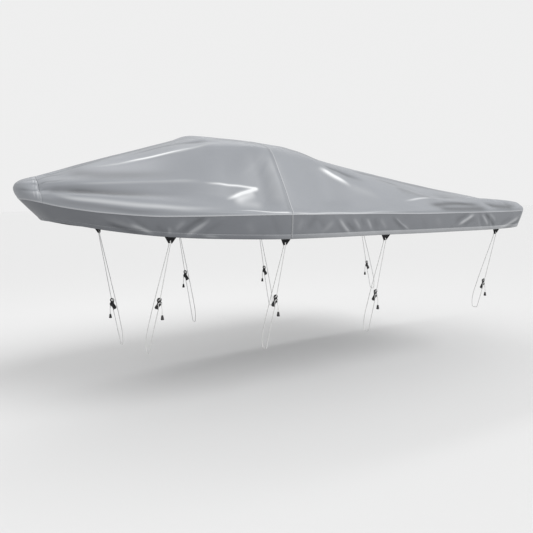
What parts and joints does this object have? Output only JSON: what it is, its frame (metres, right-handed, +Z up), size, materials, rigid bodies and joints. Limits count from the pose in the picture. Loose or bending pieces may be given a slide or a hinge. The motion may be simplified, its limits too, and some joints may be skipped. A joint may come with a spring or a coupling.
{
  "type": "boat cover",
  "caption": "Fitted trailerable cover for an open runabout with a windscreen: lofted top, nose cap, darker skirt with hem casing, webbing tabs and tie ropes.",
  "frame": {"origin": "inner face of the crown above the windscreen's top rail, on the centre plane, where the boat carries the cover", "axes": "+X towards the stern, along the boat; +Y to starboard; +Z up"},
  "size_m": [4.8321, 2.0517, 1.7708],
  "materials": {
    "cover_cloth": "coated polyester, silver grey, low sheen",
    "skirt_cloth": "coated polyester, darker grey, low sheen",
    "webbing": "woven black webbing",
    "rope": "braided white polyester",
    "plastic": "moulded black nylon"
  },
  "bodies": {
    "root": {"nose_cap": "cover_cloth", "front_top": "cover_cloth", "rear_top": "cover_cloth", "front_skirt_port": "skirt_cloth", "rear_skirt_port": "skirt_cloth", "front_skirt_starboard": "skirt_cloth", "rear_skirt_starboard": "skirt_cloth", "tab_bow_port": "webbing", "tensioner_bow_port": "plastic", "rope_bow_port": "rope", "stop_bow_port": "plastic", "tab_midship_port": "webbing", "tensioner_midship_port": "plastic", "rope_midship_port": "rope", "stop_midship_port": "plastic", "tab_quarter_port": "webbing", "tensioner_quarter_port": "plastic", "rope_quarter_port": "rope", "stop_quarter_port": "plastic", "tab_stern_port": "webbing", "tensioner_stern_port": "plastic", "rope_stern_port": "rope", "stop_stern_port": "plastic", "tab_bow_starboard": "webbing", "tensioner_bow_starboard": "plastic", "rope_bow_starboard": "rope", "stop_bow_starboard": "plastic", "tab_midship_starboard": "webbing", "tensioner_midship_starboard": "plastic", "rope_midship_starboard": "rope", "stop_midship_starboard": "plastic", "tab_quarter_starboard": "webbing", "tensioner_quarter_starboard": "plastic", "rope_quarter_starboard": "rope", "stop_quarter_starboard": "plastic", "tab_stern_starboard": "webbing", "tensioner_stern_starboard": "plastic", "rope_stern_starboard": "rope", "stop_stern_starboard": "plastic"}
  },
  "joints": []
}
